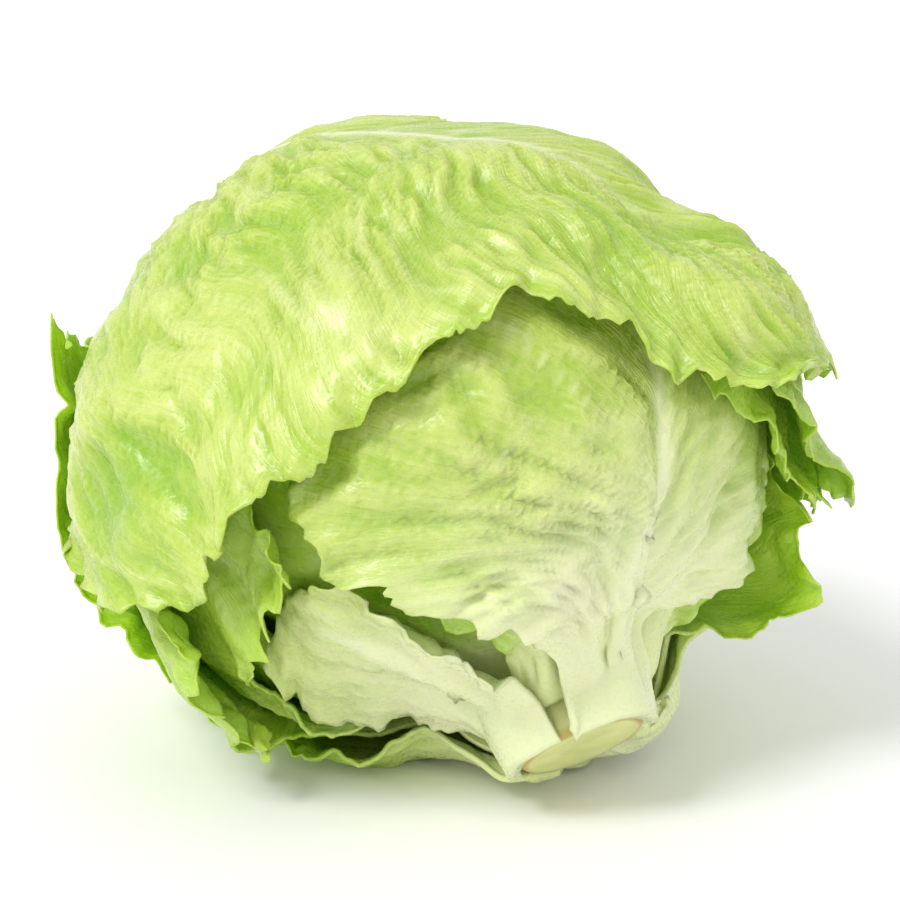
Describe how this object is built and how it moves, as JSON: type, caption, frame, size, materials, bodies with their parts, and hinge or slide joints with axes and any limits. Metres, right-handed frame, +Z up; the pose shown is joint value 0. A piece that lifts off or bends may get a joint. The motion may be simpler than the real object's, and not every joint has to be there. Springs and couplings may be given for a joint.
{
  "type": "head of lettuce",
  "caption": "Head of iceberg lettuce lying on a table: green outer leaves with frilled edges wrapped round a tight pale heart, cut stem at the front.",
  "frame": {"origin": "on the table, in the flat spot under the lowest leaf, straight below the point from which the leaves are measured", "axes": "+Z up; -Y is the side that faces the viewer in the picture and +X is the viewer's right; the cut stem points down, towards -Y and +X"},
  "size_m": [0.1797, 0.1675, 0.1456],
  "materials": {
    "outer_leaf": "living leaf: yellow-green, white at the rib, veined, crinkled and waxy with soft highlights",
    "heart_leaf": "living leaf, paler: pale green to white, smooth ribs, waxy with soft highlights",
    "stem_flesh": "moist cream flesh, browning along the rim of the cut"
  },
  "bodies": {
    "root": {"stem": "stem_flesh", "heart": "heart_leaf", "leaf_inner_front": "heart_leaf", "leaf_inner_right": "heart_leaf", "leaf_inner_left": "heart_leaf", "leaf_inner_back": "heart_leaf", "leaf_right_under": "heart_leaf", "leaf_front_under": "heart_leaf", "leaf_lower_left": "outer_leaf", "leaf_front": "outer_leaf", "leaf_right_low": "outer_leaf", "leaf_right_inner": "outer_leaf", "leaf_left_inner": "outer_leaf", "leaf_left_lower": "outer_leaf", "leaf_right_outer": "outer_leaf", "leaf_crown": "outer_leaf", "leaf_underneath": "outer_leaf"}
  },
  "joints": []
}
